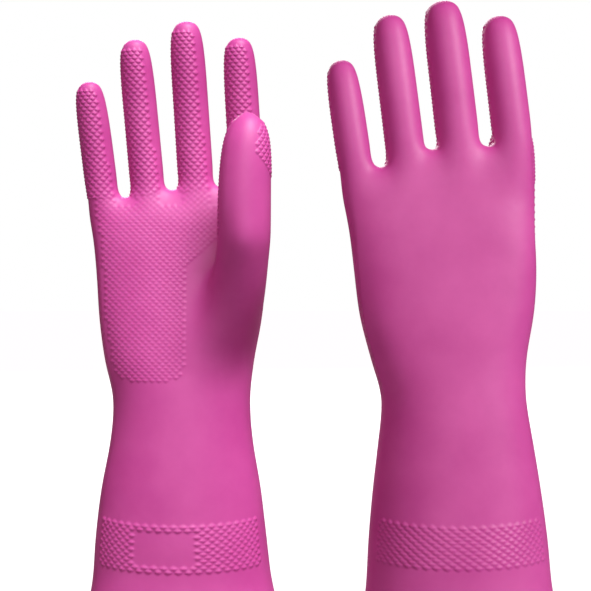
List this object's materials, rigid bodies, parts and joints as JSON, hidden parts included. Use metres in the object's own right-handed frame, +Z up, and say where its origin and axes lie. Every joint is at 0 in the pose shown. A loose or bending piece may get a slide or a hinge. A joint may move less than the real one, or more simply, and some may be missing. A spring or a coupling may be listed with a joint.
{
  "type": "pair of rubber gloves",
  "caption": "Pair of long household rubber gloves with rolled cuffs and a flock lining; fingers, thumbs and wrists bend.",
  "frame": {"origin": "on the floor under the middle of the pair's box", "axes": "+Z up along the fingers; +X from the right-hand glove to the left-hand glove; the right-hand glove's palm faces -Y, the left-hand glove's palm +Y"},
  "size_m": [0.2453, 0.1134, 0.3076],
  "materials": {
    "latex_skin": "satin, embossed with small grip scales on the palms, the finger fronts and a band round each cuff",
    "cuff_bead": "satin, rolled",
    "flock_lining": "short cotton flock"
  },
  "bodies": {
    "right_cuff": {"right_cuff_bead": "cuff_bead", "right_cuff_shell": "latex_skin", "right_cuff_lining": "flock_lining"},
    "right_hand": {"right_hand_shell": "latex_skin", "right_hand_lining": "flock_lining"},
    "right_little_base": {"right_little_base_shell": "latex_skin", "right_little_base_lining": "flock_lining"},
    "right_little_tip": {"right_little_tip_shell": "latex_skin", "right_little_tip_lining": "flock_lining"},
    "right_ring_base": {"right_ring_base_shell": "latex_skin", "right_ring_base_lining": "flock_lining"},
    "right_ring_tip": {"right_ring_tip_shell": "latex_skin", "right_ring_tip_lining": "flock_lining"},
    "right_middle_base": {"right_middle_base_shell": "latex_skin", "right_middle_base_lining": "flock_lining"},
    "right_middle_tip": {"right_middle_tip_shell": "latex_skin", "right_middle_tip_lining": "flock_lining"},
    "right_index_base": {"right_index_base_shell": "latex_skin", "right_index_base_lining": "flock_lining"},
    "right_index_tip": {"right_index_tip_shell": "latex_skin", "right_index_tip_lining": "flock_lining"},
    "right_thumb_base": {"right_thumb_base_shell": "latex_skin", "right_thumb_base_lining": "flock_lining"},
    "right_thumb_tip": {"right_thumb_tip_shell": "latex_skin", "right_thumb_tip_lining": "flock_lining"},
    "left_cuff": {"left_cuff_bead": "cuff_bead", "left_cuff_shell": "latex_skin", "left_cuff_lining": "flock_lining"},
    "left_hand": {"left_hand_shell": "latex_skin", "left_hand_lining": "flock_lining"},
    "left_little_base": {"left_little_base_shell": "latex_skin", "left_little_base_lining": "flock_lining"},
    "left_little_tip": {"left_little_tip_shell": "latex_skin", "left_little_tip_lining": "flock_lining"},
    "left_ring_base": {"left_ring_base_shell": "latex_skin", "left_ring_base_lining": "flock_lining"},
    "left_ring_tip": {"left_ring_tip_shell": "latex_skin", "left_ring_tip_lining": "flock_lining"},
    "left_middle_base": {"left_middle_base_shell": "latex_skin", "left_middle_base_lining": "flock_lining"},
    "left_middle_tip": {"left_middle_tip_shell": "latex_skin", "left_middle_tip_lining": "flock_lining"},
    "left_index_base": {"left_index_base_shell": "latex_skin", "left_index_base_lining": "flock_lining"},
    "left_index_tip": {"left_index_tip_shell": "latex_skin", "left_index_tip_lining": "flock_lining"},
    "left_thumb_base": {"left_thumb_base_shell": "latex_skin", "left_thumb_base_lining": "flock_lining"},
    "left_thumb_tip": {"left_thumb_tip_shell": "latex_skin", "left_thumb_tip_lining": "flock_lining"}
  },
  "joints": [
    {"name": "left_glove_apart", "type": "slide", "parent": "right_cuff", "child": "left_cuff", "axis": [1, 0, 0], "range_m": [0, 0.12]},
    {"name": "right_wrist_bend", "type": "hinge", "parent": "right_cuff", "child": "right_hand", "pos_m": [-0.0682, -0.0006, 0.108], "axis": [1, 0, 0], "range_deg": [0, 45], "stiffness_Nm_per_rad": 0.5},
    {"name": "right_little_base_bend", "type": "hinge", "parent": "right_hand", "child": "right_little_base", "pos_m": [-0.11046, 0.0151, 0.221], "axis": [0.9928, 0, 0.1198], "range_deg": [0, 80], "stiffness_Nm_per_rad": 0.06},
    {"name": "right_little_tip_bend", "type": "hinge", "parent": "right_little_base", "child": "right_little_tip", "pos_m": [-0.11325, 0.01362, 0.2441], "axis": [0.9928, 0, 0.1198], "range_deg": [0, 85], "stiffness_Nm_per_rad": 0.04},
    {"name": "right_ring_base_bend", "type": "hinge", "parent": "right_hand", "child": "right_ring_base", "pos_m": [-0.08669, 0.01471, 0.225], "axis": [0.996, 0, 0.0891], "range_deg": [0, 80], "stiffness_Nm_per_rad": 0.06},
    {"name": "right_ring_tip_bend", "type": "hinge", "parent": "right_ring_base", "child": "right_ring_tip", "pos_m": [-0.08947, 0.01324, 0.25602], "axis": [0.996, 0, 0.0891], "range_deg": [0, 85], "stiffness_Nm_per_rad": 0.04},
    {"name": "right_middle_base_bend", "type": "hinge", "parent": "right_hand", "child": "right_middle_base", "pos_m": [-0.06115, 0.01444, 0.2265], "axis": [0.998, 0, 0.0629], "range_deg": [0, 80], "stiffness_Nm_per_rad": 0.06},
    {"name": "right_middle_tip_bend", "type": "hinge", "parent": "right_middle_base", "child": "right_middle_tip", "pos_m": [-0.06333, 0.01302, 0.26104], "axis": [0.998, 0, 0.0629], "range_deg": [0, 85], "stiffness_Nm_per_rad": 0.04},
    {"name": "right_index_base_bend", "type": "hinge", "parent": "right_hand", "child": "right_index_base", "pos_m": [-0.03447, 0.01474, 0.2265], "axis": [0.9983, 0, 0.0589], "range_deg": [0, 38], "stiffness_Nm_per_rad": 0.06},
    {"name": "right_index_tip_bend", "type": "hinge", "parent": "right_index_base", "child": "right_index_tip", "pos_m": [-0.03629, 0.01332, 0.2573], "axis": [0.9983, 0, 0.0589], "range_deg": [0, 85], "stiffness_Nm_per_rad": 0.04},
    {"name": "right_thumb_base_bend", "type": "hinge", "parent": "right_hand", "child": "right_thumb_base", "pos_m": [-0.02051, -0.01445, 0.196], "axis": [0, 1, 0], "range_deg": [0, 40], "stiffness_Nm_per_rad": 0.06},
    {"name": "right_thumb_tip_bend", "type": "hinge", "parent": "right_thumb_base", "child": "right_thumb_tip", "pos_m": [-0.03392, -0.00196, 0.226], "axis": [-1, 0, 0], "range_deg": [0, 30], "stiffness_Nm_per_rad": 0.04},
    {"name": "left_wrist_bend", "type": "hinge", "parent": "left_cuff", "child": "left_hand", "pos_m": [0.0716, 0.0006, 0.108], "axis": [-1, 0, 0], "range_deg": [0, 45], "stiffness_Nm_per_rad": 0.5},
    {"name": "left_little_base_bend", "type": "hinge", "parent": "left_hand", "child": "left_little_base", "pos_m": [0.02011, -0.01486, 0.234], "axis": [-0.9891, 0, -0.1474], "range_deg": [0, 80], "stiffness_Nm_per_rad": 0.06},
    {"name": "left_little_tip_bend", "type": "hinge", "parent": "left_little_base", "child": "left_little_tip", "pos_m": [0.01716, -0.01335, 0.2538], "axis": [-0.9891, 0, -0.1474], "range_deg": [0, 85], "stiffness_Nm_per_rad": 0.04},
    {"name": "left_ring_base_bend", "type": "hinge", "parent": "left_hand", "child": "left_ring_base", "pos_m": [0.04527, -0.01386, 0.24], "axis": [-0.9928, 0, -0.1202], "range_deg": [0, 80], "stiffness_Nm_per_rad": 0.06},
    {"name": "left_ring_tip_bend", "type": "hinge", "parent": "left_ring_base", "child": "left_ring_tip", "pos_m": [0.04198, -0.01235, 0.26715], "axis": [-0.9928, 0, -0.1202], "range_deg": [0, 85], "stiffness_Nm_per_rad": 0.04},
    {"name": "left_middle_base_bend", "type": "hinge", "parent": "left_hand", "child": "left_middle_base", "pos_m": [0.0718, -0.01291, 0.242], "axis": [-0.9939, 0, -0.1103], "range_deg": [0, 80], "stiffness_Nm_per_rad": 0.06},
    {"name": "left_middle_tip_bend", "type": "hinge", "parent": "left_middle_base", "child": "left_middle_tip", "pos_m": [0.06854, -0.01146, 0.27135], "axis": [-0.9939, 0, -0.1103], "range_deg": [0, 85], "stiffness_Nm_per_rad": 0.04},
    {"name": "left_index_base_bend", "type": "hinge", "parent": "left_hand", "child": "left_index_base", "pos_m": [0.09911, -0.01371, 0.242], "axis": [-0.9938, 0, -0.1109], "range_deg": [0, 38], "stiffness_Nm_per_rad": 0.06},
    {"name": "left_index_tip_bend", "type": "hinge", "parent": "left_index_base", "child": "left_index_tip", "pos_m": [0.0962, -0.01226, 0.26805], "axis": [-0.9938, 0, -0.1109], "range_deg": [0, 85], "stiffness_Nm_per_rad": 0.04},
    {"name": "left_thumb_base_bend", "type": "hinge", "parent": "left_hand", "child": "left_thumb_base", "pos_m": [0.11589, 0.01445, 0.196], "axis": [0, 1, 0], "range_deg": [0, 40], "stiffness_Nm_per_rad": 0.06},
    {"name": "left_thumb_tip_bend", "type": "hinge", "parent": "left_thumb_base", "child": "left_thumb_tip", "pos_m": [0.10248, 0.00196, 0.226], "axis": [1, 0, 0], "range_deg": [0, 30], "stiffness_Nm_per_rad": 0.04}
  ]
}
